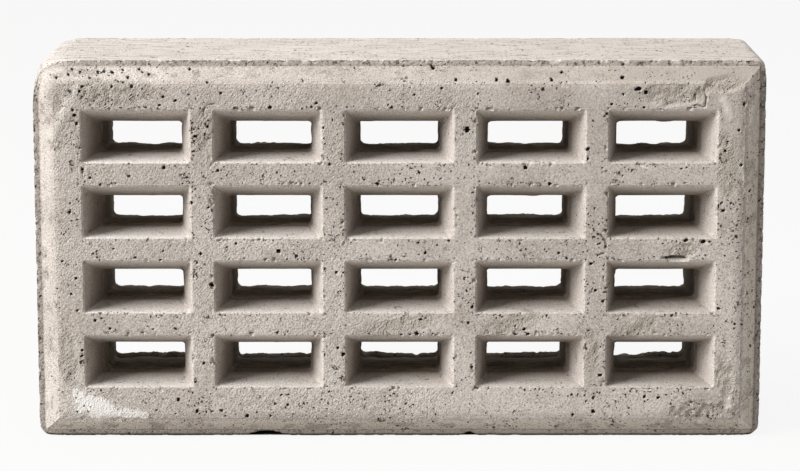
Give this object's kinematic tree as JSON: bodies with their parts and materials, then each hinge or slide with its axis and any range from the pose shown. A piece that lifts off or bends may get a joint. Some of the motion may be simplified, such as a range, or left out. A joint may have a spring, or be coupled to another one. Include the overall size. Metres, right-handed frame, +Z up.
{
  "type": "concrete ventilation block",
  "caption": "Cast concrete ventilation block with a chamfered frame round its face and a grid of rectangular openings that narrow from the front.",
  "frame": {"origin": "centre of the bed that the block stands on, midway between its front and back faces", "axes": "+X along the block's length, -Y out of the framed front face, +Z up from the bed"},
  "size_m": [0.39, 0.11, 0.205],
  "materials": {
    "cast_concrete": "matt, cast, with small air holes and sandy grain"
  },
  "bodies": {
    "root": {"vent_block": "cast_concrete"}
  },
  "joints": []
}
